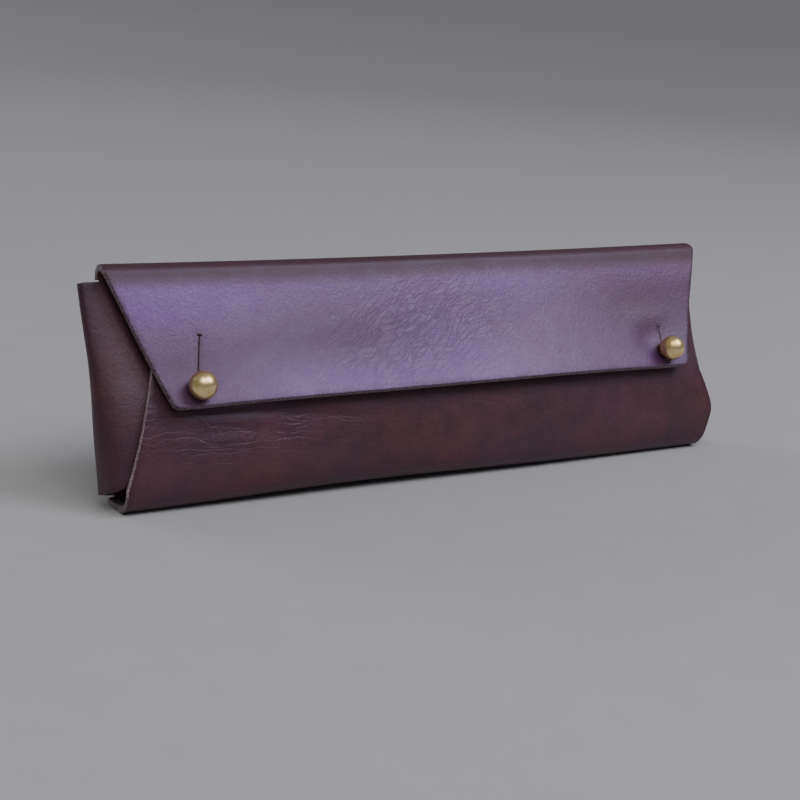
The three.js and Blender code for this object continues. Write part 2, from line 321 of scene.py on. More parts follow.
class Gusset:
    """A side wing: it bends forward from the back panel and tucks behind the front panel. Its
    places are u, the length of leather from the hinge line, and the height, and X is positive."""

    def __init__(self, side):
        self.side = side
        self.heights = np.linspace(GUSSET_LOW - 2, GUSSET_HIGH + 2, 120)
        self.u = np.arange(0, GUSSET_LENGTH + 11, 0.25)
        s_back = PROFILE.s_at_height(self.heights, PROFILE.bottom_end - 3, PROFILE.back_end)
        back = fold_strip(np.full_like(s_back, HINGE), s_back)[:, 1:]
        front, share = self.front_inside()
        rows = []
        for height, start, end, up in zip(self.heights, back, front, share):
            depth = np.linalg.norm(end - start)
            panel_half = BOTTOM_HALF + (FRONT_TOP_HALF - BOTTOM_HALF) * up
            outline = gusset_outline(depth, panel_half - 3.0, self.side_x(height))
            length = Profile.lengths(outline)
            x = np.interp(self.u, length, outline[:, 0])
            q = np.interp(self.u, length, outline[:, 1])[:, None] / depth
            rows.append(np.concatenate([x[:, None], start * (1 - q) + end * q], axis=1))
        self.table = np.array(rows)

    def side_x(self, height):
        """How far the wing's fold stands out: flared at the left, drawn in at the right."""
        if self.side < 0:
            flare = 0.5 * smooth(height, 30, 64) + 0.8 * hump(height, 22, 14)
            return GUSSET_SIDE + 0.02 * (height - 33) + flare
        return GUSSET_SIDE - 2.6 * hump(height, 38, 17) - 2.6 * (1 - smooth(height, 4, 17))

    def front_inside(self):
        """Where the tucked leather lies behind the front panel, and how far up that is."""
        top = upright_height(PROFILE.at(0.0))
        s = PROFILE.s_at_height(np.minimum(self.heights, top), 0, PROFILE.front_end)
        behind = PROFILE.at(s) - PROFILE.outward(s) * TUCK
        climb = PROFILE.at(0.0) - PROFILE.at(4.0)
        climb /= upright_height(climb)
        above = np.clip(self.heights - top, 0, None)
        behind += above[:, None] * climb
        return behind, 1 - s / PROFILE.front_end + above / PROFILE.front_end

    def at(self, u, height):
        """Places read from the table, evened out between its four nearest."""
        i = np.interp(height, self.heights, np.arange(len(self.heights)))
        j = np.interp(u, self.u, np.arange(len(self.u)))
        i0 = np.minimum(i.astype(int), len(self.heights) - 2)
        j0 = np.minimum(j.astype(int), len(self.u) - 2)
        a, b = (i - i0)[:, None], (j - j0)[:, None]
        t = self.table
        low = t[i0, j0] * (1 - b) + t[i0, j0 + 1] * b
        high = t[i0 + 1, j0] * (1 - b) + t[i0 + 1, j0 + 1] * b
        return low * (1 - a) + high * a


GUSSETS = {side: Gusset(side) for side in (-1, 1)}
S_LOW, S_HIGH, S_TIP_LOW, S_TIP_HIGH = (
    float(PROFILE.s_at_height(height, PROFILE.bottom_end - 3, PROFILE.back_end))
    for height in (GUSSET_LOW, GUSSET_HIGH, GUSSET_TIP_LOW, GUSSET_TIP_HIGH)
)


def fold(x, s):
    """Mid-thickness of the whole folded blank at flat places (x, s)."""
    place = fold_strip(x, s)
    wings = (np.abs(x) > HINGE) & (s > S_LOW - NOTCH / 2) & (s < S_HIGH + NOTCH / 2)
    for side, gusset in GUSSETS.items():
        wing = wings & (x * side > 0)
        if wing.any():
            at = gusset.at(np.abs(x[wing]) - HINGE, upright_height(PROFILE.at(s[wing])))
            at[:, 0] *= side
            place[wing] = at
    return place


NORMAL_STEP = 0.05


def grain_normal(x, s):
    """Unit normals of the grain side at flat places."""
    e = NORMAL_STEP
    along_x = fold(x + e, s) - fold(x - e, s)
    along_s = fold(x, s + e) - fold(x, s - e)
    normal = np.cross(along_s, along_x)
    return normal / np.maximum(np.linalg.norm(normal, axis=1), 1e-12)[:, None]


# Flat pattern: outlines of the leather, cut in (x, s) before folding
RIM, HOLE_RIM = 0.18, 0.12        # rounding of a cut edge
SEAM_STEP = 1.6                   # spacing of the points along a seam
GRID_GAP = 0.36                   # least gap between the mesh's grid and a border
HOLE_RADIUS = 2.5                 # of the flap's keyholes
STUD_HOLE_RADIUS = 1.6
SLIT_CROSS = 0.75                 # half-length of the cross cut that ends a slit


def rounded(corners, step=0.8):
    """A closed outline through corners (x, s, radius, seam), with its corners rounded.
    seam marks that the side after that corner is a seam, which gets no rim.
    Returns the points and, for each, whether the side after it is on a seam."""
    points, seams = [], []
    count = len(corners)
    for i, (x, s, radius, seam) in enumerate(corners):
        here = np.array([x, s])
        before = np.array(corners[i - 1][:2]) - here
        after = np.array(corners[(i + 1) % count][:2]) - here
        size_before, size_after = np.linalg.norm(before), np.linalg.norm(after)
        if radius > 0:
            before, after = before / size_before, after / size_after
            half_angle = math.acos(np.clip(before @ after, -1, 1)) / 2
            reach = min(radius / math.tan(half_angle), 0.45 * min(size_before, size_after))
            turn = max(3, int(radius * (math.pi - 2 * half_angle) / 0.35))
            t = np.linspace(0, 1, turn + 1)[:, None]
            a, b = here + before * reach, here + after * reach
            bend = (1 - t) ** 2 * a + 2 * (1 - t) * t * here + t ** 2 * b
        else:
            bend = here[None]
        points.append(bend)
        seams.append(seam)
    out, marks = [], []
    for i in range(count):
        start, end = points[i][-1], points[(i + 1) % count][0]
        out.extend(points[i][:-1])
        marks.extend([False] * (len(points[i]) - 1))
        spacing = SEAM_STEP if seams[i] else step
        parts = max(1, round(float(np.linalg.norm(end - start)) / spacing))
        line = start + (end - start) * (np.arange(parts) / parts)[:, None]
        out.extend(line)
        marks.extend([seams[i]] * parts)
    return np.array(out), np.array(marks)


def mirrored(right, closing_seam=False):
    """A whole outline from its right half, listed from its first to its last corner. The side
    that closes the outline is a seam if closing_seam says so."""
    left = [(-x, s, radius, False) for x, s, radius, _ in right[::-1]]
    left[-1] = left[-1][:3] + (closing_seam,)
    return list(right) + left


def signed_area(loop):
    """Area of a closed loop, below zero if it runs clockwise."""
    x, s = loop[:, 0], loop[:, 1]
    return 0.5 * float(np.sum(x * np.roll(s, -1) - np.roll(x, -1) * s))


def anticlockwise(points, marks):
    area = signed_area(points)
    if area > 0:
        return points, marks, area
    return points[::-1].copy(), np.roll(marks[::-1], -1).copy(), -area


def turned_right(directions):
    return np.stack([directions[:, 1], -directions[:, 0]], -1)


def loop_normals(points, marks):
    """Normals that point away from the leather, for a loop with the leather on its left. Points
    inside a seam don't move, and its two ends move along it."""
    after = np.roll(points, -1, axis=0) - points
    after /= np.linalg.norm(after, axis=1)[:, None]
    before = np.roll(after, 1, axis=0)
    normal = turned_right(before) + turned_right(after)
    normal /= np.maximum(np.linalg.norm(normal, axis=1), 1e-9)[:, None]
    normal /= np.maximum((normal * turned_right(after)).sum(1), 0.6)[:, None]
    seam_after, seam_before = marks, np.roll(marks, 1)
    starts, ends = seam_after & ~seam_before, seam_before & ~seam_after
    normal[starts] = -after[starts]
    normal[ends] = before[ends]
    normal[seam_after & seam_before] = 0
    return normal


def inside(points, loop):
    """Whether each point lies inside a closed loop."""
    result = np.zeros(len(points), bool)
    a, b = loop, np.roll(loop, -1, axis=0)
    for (x0, s0), (x1, s1) in zip(a, b):
        if s0 == s1:
            continue
        crosses = (s0 > points[:, 1]) != (s1 > points[:, 1])
        at = x0 + (points[:, 1] - s0) * (x1 - x0) / (s1 - s0)
        result ^= crosses & (points[:, 0] < at)
    return result


def distance(points, targets):
    """How far each point is from its nearest target, found for a few targets at a time."""
    found = np.full(len(points), 1e9)
    for start in range(0, len(targets), 64):
        part = targets[start:start + 64]
        gap = np.linalg.norm(points[:, None] - part[None], axis=2).min(axis=1)
        found = np.minimum(found, gap)
    return found


def lines_s(low, high, step):
    """Places along the profile, closer together where it bends."""
    places, s = [], low
    turning = np.linalg.norm(np.gradient(PROFILE.tangents, PROFILE.s, axis=0), axis=1)
    while s < high:
        places.append(s)
        around = (PROFILE.s > s - 1.5) & (PROFILE.s < s + 1.5)
        s += float(np.clip(0.17 / max(turning[around].max(), 1e-6), 0.34, step))
    return np.array(places)


def lines_x(step):
    """Places along X, closer together over the gussets' bends."""
    inner = np.arange(0, HINGE - 1 - 0.4 * step, step)
    bend = np.arange(HINGE - 1, HINGE + 10, 0.5)
    outer = np.arange(HINGE + 10, HINGE + GUSSET_LENGTH, 1.2)
    right = np.concatenate([inner, bend, outer])
    return np.concatenate([-right[:0:-1], right])


def circle(x, s, radius, count=20):
    """A hole, clockwise, so that the leather is on its left."""
    t = np.linspace(0, -2 * math.pi, count, endpoint=False)
    return np.stack([x + radius * np.cos(t), s + radius * np.sin(t)], -1)


def keyhole(x, s, width, reach, aside):
    """The flap's buttonhole: a round hole, a knife slit towards the roll and its short cross cut.
    The slit ends at reach from the hole's centre, and aside to its +X side."""
    half = width / 2
    open_angle = math.asin(half / HOLE_RADIUS)
    t = np.linspace(-math.pi / 2 - open_angle, -2.5 * math.pi + open_angle, 26)
    ring = np.stack([HOLE_RADIUS * np.cos(t), HOLE_RADIUS * np.sin(t)], -1)
    left = [(half, v) for v in np.linspace(-HOLE_RADIUS, 2 * half - reach, 22)[1:]]
    tee = [
        (SLIT_CROSS, 2 * half - reach), (SLIT_CROSS, -reach), (0, -reach - 0.1),
        (-SLIT_CROSS, -reach), (-SLIT_CROSS, 2 * half - reach),
    ]
    right = [(-half, v) for v in np.linspace(2 * half - reach, -HOLE_RADIUS, 22)[:-1]]
    loop = np.concatenate([ring, left, tee, right])
    turn = math.atan2(aside, reach)
    turned = np.stack([
        loop[:, 0] * math.cos(turn) - loop[:, 1] * math.sin(turn),
        loop[:, 0] * math.sin(turn) + loop[:, 1] * math.cos(turn),
    ], -1) + (x, s)
    return turned if signed_area(turned) < 0 else turned[::-1]


class Plate:
    """A flat cut piece of leather as a triangle mesh in (x, s), with its borders."""

    def __init__(self, corners, seams, step, holes=()):
        self.seams = seams
        points, marks = rounded(corners)
        points, marks, self.area = anticlockwise(points, marks)
        loops = [(points, marks, RIM)]
        loops += [(hole, np.zeros(len(hole), bool), HOLE_RIM) for hole in holes]
        self.loops, inner, edges = [], [], []
        start = 0
        for loop, mark, rim in loops:
            normal = loop_normals(loop, mark)
            index = np.arange(start, start + len(loop))
            self.loops.append((index, normal, mark, rim))
            inner.append(loop - normal * rim)
            edges += list(zip(index.tolist(), np.roll(index, -1).tolist()))
            start += len(loop)
        border = np.concatenate(inner)
        s0, s1 = points[:, 1].min(), points[:, 1].max()
        rows = lines_s(s0 + 0.4, s1, step)
        grid = np.stack(np.meshgrid(lines_x(step), rows, indexing="ij"), -1).reshape(-1, 2)
        keep = inside(grid, inner[0])
        for hole in inner[1:]:
            keep &= ~inside(grid, hole)
        grid = grid[keep]
        grid = grid[distance(grid, border) > GRID_GAP]
        flat = np.concatenate([border, grid])
        found = delaunay_2d_cdt([Vector(p) for p in flat], edges, [], 1, 1e-6)
        assert len(found[0]) == len(flat), "two border points coincide"
        triangles = np.array([list(f) for f in found[2]])
        centres = flat[triangles].mean(axis=1)
        good = inside(centres, inner[0])
        for hole in inner[1:]:
            good &= ~inside(centres, hole)
        self.flat, self.triangles = flat, triangles[good]
        rims = [inner[k][~loop[2] & ~np.roll(loop[2], 1)] for k, loop in enumerate(self.loops)]
        self.edge_distance = distance(flat, np.concatenate(rims))


# Pieces: the flat plates folded into thick leather
GRAIN, CUT, FLESH = 0, 1, 2


def linked(thing):
    """Puts a new object into the scene."""
    bpy.context.scene.collection.objects.link(thing)
    return thing


def painted_sheen(x, s):
    """How much violet painted sheen, a painted reflection of a cool light, the grain gets: strong
    on the flap, with painted highlights in bands, weak elsewhere, and varied at random.
    """
    down = (s - PROFILE.roll_end) / FLAP_LENGTH
    flap = smooth(s, PROFILE.roll_end + 0.3, PROFILE.roll_end + 8)
    cloud = 0.10 * np.sin(x / 23.0 + down * 3.0) + 0.06 * np.sin(x / 9.0 - s / 7.0)
    # Painted highlights in bands across the flap, mostly towards its left
    highlight_bands = 0.42 * hump(down, 0.24, 0.2) * smooth(-x, 10, 85)
    highlight_bands += 0.16 * hump(down, 0.12, 0.12) + 0.26 * smooth(down, 0.5, 0.95) * smooth(x, -100, -45)
    highlight_bands += 0.22 * smooth(-x, -95, -10)
    return np.clip(0.08 + flap * (0.34 + highlight_bands) + cloud * (0.2 + flap), 0, 1)


def shade(x, s):
    """Painted shade, where the leather's colour is made darker: over the top bend, on the gussets,
    under the flap's edge, low on the front and over the bottom fold, and in patches on the flap."""
    bend = smooth(s, PROFILE.back_end - 5, PROFILE.back_end + 1)
    bend = bend * (1 - smooth(s, PROFILE.roll_end, PROFILE.roll_end + 6))
    wing = (np.abs(x) > HINGE) & (s > S_LOW) & (s < S_HIGH)
    u = np.abs(x) - HINGE
    # Painted shadow under the flap's edge, and painted shade low on the front and over the bottom
    # fold
    under = 0.7 * (1 - smooth(s, 22, 36)) + 0.4 * smooth(s, 42, 52) * (1 - smooth(s, 60, 80))
    down = (s - PROFILE.roll_end) / FLAP_LENGTH
    # Painted shade in patches on the flap
    shade_patches = 0.55 * hump(down, 0.56, 0.24) * hump(x, -42, 34)
    shade_patches += 0.4 * smooth(x, 20, 85) * (1 - 0.8 * hump(down, 0.16, 0.12))
    shade_patches += 0.5 * hump(x, -92, 22) * smooth(down, 0.42, 0.7)
    shade_patches *= s > PROFILE.roll_end
    return np.clip(0.9 * bend + wing * (0.75 - 0.35 * smooth(u, 3, 16)) + under + shade_patches, 0, 1)


def crease(x, s):
    """Where the leather shows fine creases: mostly the flap's middle and under its left end."""
    down = (s - PROFILE.roll_end) / FLAP_LENGTH
    fan = hump(down - 0.5, 0.004 * (-12 - x), 0.34)
    flap = (s > PROFILE.roll_end) * hump(x, -8, 29) * fan
    up = (PROFILE.front_end - s) / PROFILE.front_end
    front = (s < PROFILE.front_end) * hump(x, -76, 32) * hump(up, 0.34, 0.2)
    back = 0.45 * ((s > PROFILE.bottom_end) & (s < PROFILE.back_end)) * hump(x, 30, 60)
    return np.clip(flap + 0.9 * front + back + 0.06, 0, 1)


def rim_rings(rim):
    """The rings that round a cut edge off, from the grain side to the flesh side: how far each
    stands out, its height, and how far its normal leans in degrees."""
    half, round_off = rim * math.sin(math.pi / 4), rim * (1 - math.cos(math.pi / 4))
    return [
        (half, HALF - round_off, 45), (rim, HALF - rim, 90), (rim, 0.0, 90),
        (rim, rim - HALF, 90), (half, round_off - HALF, 135),
    ]


def leather_piece(name, plate, materials):
    """Folds a plate and gives it its thickness and its rounded cut edges."""
    count = len(plate.flat)
    flat, gap = [plate.flat] * 2, [plate.edge_distance] * 2
    height = [np.full(count, HALF), np.full(count, -HALF)]
    lean = [np.zeros(count)] * 2
    across = [np.zeros((count, 2))] * 2
    faces = [list(f[::-1]) for f in plate.triangles] + [list(f + count) for f in plate.triangles]
    kinds = [GRAIN] * len(plate.triangles) + [FLESH] * len(plate.triangles)
    start = 2 * count
    for index, normal, mark, rim in plate.loops:
        size = len(index)
        levels = [index]
        for out, t, angle in rim_rings(rim):
            flat.append(plate.flat[index] + normal * out)
            height.append(np.full(size, t))
            gap.append(np.zeros(size))
            lean.append(np.full(size, math.radians(angle)))
            across.append(normal)
            levels.append(np.arange(start, start + size))
            start += size
        levels.append(index + count)
        after = np.roll(np.arange(size), -1)
        for k, (a, b) in enumerate(zip(levels[:-1], levels[1:])):
            kind = GRAIN if k == 0 else FLESH if k == len(levels) - 2 else CUT
            for i in np.flatnonzero(~mark):
                faces.append([a[i], a[after[i]], b[after[i]], b[i]])
                kinds.append(kind)
        # A seam is closed across the leather's thickness, inside its neighbour
        for i in np.flatnonzero(mark):
            faces.append([index[i], index[after[i]], index[after[i]] + count, index[i] + count])
            kinds.append(FLESH)
    flat, height, gap = np.concatenate(flat), np.concatenate(height), np.concatenate(gap)
    lean, across = np.concatenate(lean), np.concatenate(across)
    x, s = flat.T
    normal = grain_normal(x, s)
    points = fold(x, s) + normal * height[:, None]
    points[:, 1] += SHIFT_Y

    used = np.zeros(len(points), bool)
    for face in faces:
        used[face] = True
    place = np.cumsum(used) - 1
    mesh = bpy.data.meshes.new(name)
    mesh.from_pydata((points[used] * MM).tolist(), [], [place[f].tolist() for f in faces])
    for material in materials:
        mesh.materials.append(material)
    mesh.polygons.foreach_set("material_index", kinds)
    mesh.polygons.foreach_set("use_smooth", [True] * len(faces))
    unfolded = flat + across * (HALF - height)[:, None] * 0.6
    layer = mesh.uv_layers.new(name="flat")
    corners = np.zeros(len(mesh.loops), np.int32)
    mesh.loops.foreach_get("vertex_index", corners)
    layer.data.foreach_set("uv", (unfolded[used][corners] / 100).astype(np.float32).ravel())
    # The painted sheen and the painted shade go on the points, for the grain's colour
    fields = {
        "gap": gap, "painted_sheen": painted_sheen(x, s), "shade": shade(x, s), "crease": crease(x, s),
        "level": 1.0 * (s < PROFILE.front_end),
    }
    for key, values in fields.items():
        attribute = mesh.attributes.new(key, "FLOAT", "POINT")
        attribute.data.foreach_set("value", values[used].astype(np.float32))

    # A seam's two sides get the same normals, so that it doesn't show
    seams = np.zeros(len(points), bool)
    for low in plate.seams:
        seams |= np.abs(s - low) < 1e-6
    x_step, s_step = (across * NORMAL_STEP).T
    aside = fold(x + x_step, s + s_step) - fold(x - x_step, s - s_step)
    aside /= np.maximum(np.linalg.norm(aside, axis=1), 1e-9)[:, None]
    facing = np.where(height < 0, -1.0, 1.0) * (np.abs(lean) < 1e-6)
    custom = normal * (facing + np.cos(lean) * (lean > 0))[:, None] + aside * np.sin(lean)[:, None]
    custom[~seams] = 0
    mesh.normals_split_custom_set_from_vertices(custom[used].tolist())
    mesh.update()
    return linked(bpy.data.objects.new(name, mesh))


def blend_between(piece, s_from, s_to, seams):
    """Measures where the piece's ends at s_from and s_to lie along the line between their middles
    (the furthest point at a seam, the mean elsewhere), but uses none of it and bends nothing: it
    only bakes the piece's transform into its mesh."""
    middle = []
    for s in (s_from, s_to):
        point = fold(np.array([0.0]), np.array([s]))[0]
        middle.append(np.array([0, point[1] + SHIFT_Y, point[2]]))
    along = (middle[1] - middle[0]) / np.linalg.norm(middle[1] - middle[0])
    x = np.linspace(-ROLL_HALF, ROLL_HALF, 60)
    for s, seam, furthest in ((s_from, seams[0], max), (s_to, seams[1], min)):
        places = np.full_like(x, s)
        centre, normal = fold(x, places), grain_normal(x, places)
        both = np.concatenate([centre + normal * HALF, centre - normal * HALF])
        both[:, 1] += SHIFT_Y
        on_line = (both - middle[0]) @ along
        furthest(on_line) if seam else float(on_line.mean())
    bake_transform(piece)


def blank_plate():
    """Front, bottom, back and both gussets, cut as one blank."""
    notch_x, shoulder_x, tip_x = HINGE - 0.3, HINGE + 13, HINGE + GUSSET_LENGTH
    above = S_HIGH + NOTCH / 2 + 0.1
    right = [
        (FRONT_TOP_HALF, 0, 3.0, False),
        (BOTTOM_HALF - 0.6, PROFILE.front_end - 1.5, 5.0, False),
        (BOTTOM_HALF, S_LOW - NOTCH, 1.6, False),
        (notch_x, S_LOW - NOTCH, 0.2, False),
        (notch_x, S_LOW, 0.2, False),
        (shoulder_x, S_LOW, 4.0, False),
        (tip_x, S_TIP_LOW, 5.0, False),
        (tip_x, S_TIP_HIGH, 5.0, False),
        (shoulder_x, S_HIGH, 4.0, False),
        (notch_x, S_HIGH, 0.2, False),
        (notch_x, above, 0.1, False),
        (ROLL_HALF, above, 0, False),
        (ROLL_HALF, S_SEAM, 0, True),
    ]
    corners = mirrored(right)
    corners[1:3] = [  # the lower corner at the right is rounder, and its end shorter
        (BOTTOM_HALF + 0.6, PROFILE.front_end - 8, 9.0, False),
        (BOTTOM_HALF - 3.4, PROFILE.front_end + 5, 8.0, False),
        (BOTTOM_HALF - 1.0, S_LOW - NOTCH, 1.2, False),
    ]
    holes = [circle(side * STUD_X, S_STUD, STUD_HOLE_RADIUS) for side in (-1, 1)]
    return Plate(corners, [S_SEAM], 1.1, holes)


def widened(corners):
    """The flap's cut, a little wider at its right end."""
    def extra(x, s):
        if x < 0 or s > PROFILE.roll_end + 5:
            return 0.0
        return RIGHT_EXTRA * smooth(s, S_SEAM, PROFILE.roll_end - 1)
    return [(x + extra(x, s), s, radius, seam) for x, s, radius, seam in corners]


def roll_plate():
    """The back half of the soft bend at the top."""
    right = [(ROLL_HALF, S_SEAM, 0, False), (ROLL_HALF, S_ROLL_TOP, 0, True)]
    return Plate(widened(mirrored(right, closing_seam=True)), [S_SEAM, S_ROLL_TOP], 1.3)


def flap_plate():
    """The front half of the bend and the flap, which narrows to its lower edge."""
    right = [
        (ROLL_HALF, S_ROLL_TOP, 0, False),
        (ROLL_HALF, PROFILE.roll_end - 1.0, 6.0, False),
        (FLAP_EDGE_HALF, PROFILE.end - 0.3, 3.2, False),
    ]
    holes = [
        keyhole(-STUD_X, S_FLAP_STUD, width=0.36, reach=16.0, aside=3.9),
        keyhole(STUD_X, S_FLAP_STUD, width=0.14, reach=8.5, aside=0.6),
    ]
    return Plate(widened(mirrored(right, closing_seam=True)), [S_ROLL_TOP], 0.8, holes)


def turned_object(name, outline, material, centre=(0, 0, 0), axis=(0, 0, 1), sides=72):
    """A turned shape: outline lists (radius, distance along axis), from one end to the other."""
    mesh = bmesh.new()
    turn = Vector(axis).normalized().to_track_quat("Z", "X").to_matrix()
    rings = []
    for radius, along in outline:
        angles = [2 * math.pi * k / sides for k in range(sides)] if radius > 1e-6 else [0.0]
        rings.append([
            mesh.verts.new(Vector(centre) + turn @ Vector((
                radius * math.cos(a), radius * math.sin(a), along,
            )) * MM)
            for a in angles
        ])
    for low, high in zip(rings[:-1], rings[1:]):
        for k in range(sides):
            n = (k + 1) % sides
            if len(low) == 1:
                mesh.faces.new((low[0], high[n], high[k]))
            elif len(high) == 1:
                mesh.faces.new((low[k], low[n], high[0]))
            else:
                mesh.faces.new((low[k], low[n], high[n], high[k]))
    bmesh.ops.recalc_face_normals(mesh, faces=mesh.faces)
    data = bpy.data.meshes.new(name)
    mesh.to_mesh(data)
    mesh.free()
    data.materials.append(material)
    data.polygons.foreach_set("use_smooth", [True] * len(data.polygons))
    return linked(bpy.data.objects.new(name, data))


def stud_outline():
    """From the flange on the front panel, up the neck and over the ball."""
    flange_low, flange_high, flange, neck = 0.35, HALF + 0.9, 3.6, 1.85
    edge, fillet = 0.35, 0.5
    quarter = [math.pi / 2 * k / 6 for k in range(7)]
    points = [(0, flange_low), (flange - 0.1, flange_low), (flange, flange_low + 0.1)]
    points += [
        (flange - edge + edge * math.cos(a), flange_high - edge + edge * math.sin(a))
        for a in quarter
    ]
    points += [
        (neck + fillet - fillet * math.sin(a), flange_high + fillet - fillet * math.cos(a))
        for a in quarter
    ]
    under = math.asin((neck + 0.15) / BALL_RADIUS)
    points.append((neck, BALL_CENTRE - BALL_RADIUS * math.cos(under) - 0.25))
    for k in range(45):
        a = under + (math.pi - under) * k / 44
        radius = max(0.0, BALL_RADIUS * math.sin(a))
        points.append((radius, BALL_CENTRE - BALL_RADIUS * math.cos(a)))
    return points


# Materials
class Net:
    """A new material, with short names for building its node tree."""

    def __init__(self, name):
        self.material = bpy.data.materials.new(name)
        self.material.use_nodes = True
        self.nodes = self.material.node_tree.nodes
        self.links = self.material.node_tree.links
        self.nodes.clear()
        self.shader = self.add("BsdfPrincipled")
        self.add("OutputMaterial", Surface=self.shader.outputs[0])

    def put(self, socket, value):
        """Links a socket, or sets its number."""
        if isinstance(value, bpy.types.NodeSocket):
            self.links.new(value, socket)
        else:
            socket.default_value = value

    def add(self, kind, **inputs):
        """A new node with some of its inputs linked or set."""
        node = self.nodes.new("ShaderNode" + kind)
        for key, value in inputs.items():
            self.put(node.inputs[key], value)
        return node

    def math(self, operation, a, b=0.0, c=0.0, clamp=False):
        node = self.add("Math")
        node.operation, node.use_clamp = operation, clamp
        for socket, value in zip(node.inputs, (a, b, c)):
            self.put(socket, value)
        return node.outputs[0]

    def ramp(self, value, low, high, to_low=0.0, to_high=1.0):
        """A soft step from to_low at low to to_high at high."""
        node = self.add("MapRange")
        node.interpolation_type = "SMOOTHSTEP"
        for key, number in zip((1, 2, 3, 4), (low, high, to_low, to_high)):
            self.put(node.inputs[key], number)
        self.put(node.inputs[0], value)
        return node.outputs[0]

    def mix(self, share, a, b):
        node = self.add("Mix")
        node.data_type = "RGBA"
        self.put(node.inputs[0], share)
        self.put(node.inputs[6], a)
        self.put(node.inputs[7], b)
        return node.outputs[2]

    def noise(self, place, scale, detail=3.0, rough=0.5, distortion=0.0):
        return self.add(
            "TexNoise", Vector=place, Scale=scale, Detail=detail, Roughness=rough,
            Distortion=distortion,
        ).outputs[0]

    def voronoi(self, place, scale, feature="F1"):
        node = self.add("TexVoronoi", Vector=place, Scale=scale)
        node.feature = feature
        return node.outputs["Distance"]

    def attribute(self, name):
        node = self.add("Attribute")
        node.attribute_name = name
        return node.outputs["Fac"]

    def solid(self):
        """The place in the object's own space."""
        return self.add("TexCoord").outputs["Object"]

    def flat(self):
        """The place on the unfolded blank, in tenths of a metre."""
        node = self.add("UVMap")
        node.uv_map = "flat"
        return node.outputs[0]

    def turned(self, place, angle, stretch):
        """A place seen along and across a direction, with so many features to a unit each way."""
        node = self.add("Mapping")
        node.vector_type = "TEXTURE"
        self.put(node.inputs["Vector"], place)
        self.put(node.inputs["Rotation"], (0, 0, math.radians(angle)))
        self.put(node.inputs["Scale"], (1 / stretch[0], 1 / stretch[1], 1))
        return node.outputs[0]

    def ridges(self, place, angle, stretch, width):
        """Thin wandering lines along one direction."""
        noise = self.noise(self.turned(place, angle, stretch), 1.0, 1.5, 0.5, 0.2)
        away = self.math("ABSOLUTE", self.math("SUBTRACT", noise, 0.5))
        return self.ramp(away, 0.0, width, 1.0, 0.0)

    def warped(self, place, scale, amount):
        """A place pushed about by noise."""
        noise = self.add("TexNoise", Vector=place, Scale=scale)
        node = self.add("VectorMath")
        node.operation = "MULTIPLY_ADD"
        self.put(node.inputs[0], noise.outputs["Color"])
        node.inputs[1].default_value = (amount, amount, 0)
        self.put(node.inputs[2], place)
        return node.outputs[0]

    def bump(self, height, distance, strength=1.0, normal=None):
        node = self.add("Bump", Strength=strength, Distance=distance, Height=height)
        if normal is not None:
            self.put(node.inputs["Normal"], normal)
        return node.outputs[0]

    def set(self, **values):
        """Sets the shader's inputs, and returns the material."""
        for key, value in values.items():
            self.put(self.shader.inputs[key.replace("_", " ")], value)
        return self.material


def linear(r, g, b):
    """A screen colour, 0 to 255, as scene-linear numbers."""
    def one(v):
        v /= 255
        return v / 12.92 if v <= 0.04045 else ((v + 0.055) / 1.055) ** 2.4
    return (one(r), one(g), one(b), 1.0)


# The grain side's colours: the leather's own, a violet painted sheen (a painted reflection of a
# cool light), painted shade, and painted shade for the creases
BROWN, RUSSET, SHEEN_PAINT = linear(62, 43, 34), linear(90, 50, 37), linear(104, 68, 130)
PORES, SHADE_PAINT, CREASE_SHADE, WORN = (
    linear(40, 20, 24), linear(46, 18, 22), linear(40, 20, 26), linear(52, 25, 28),
)


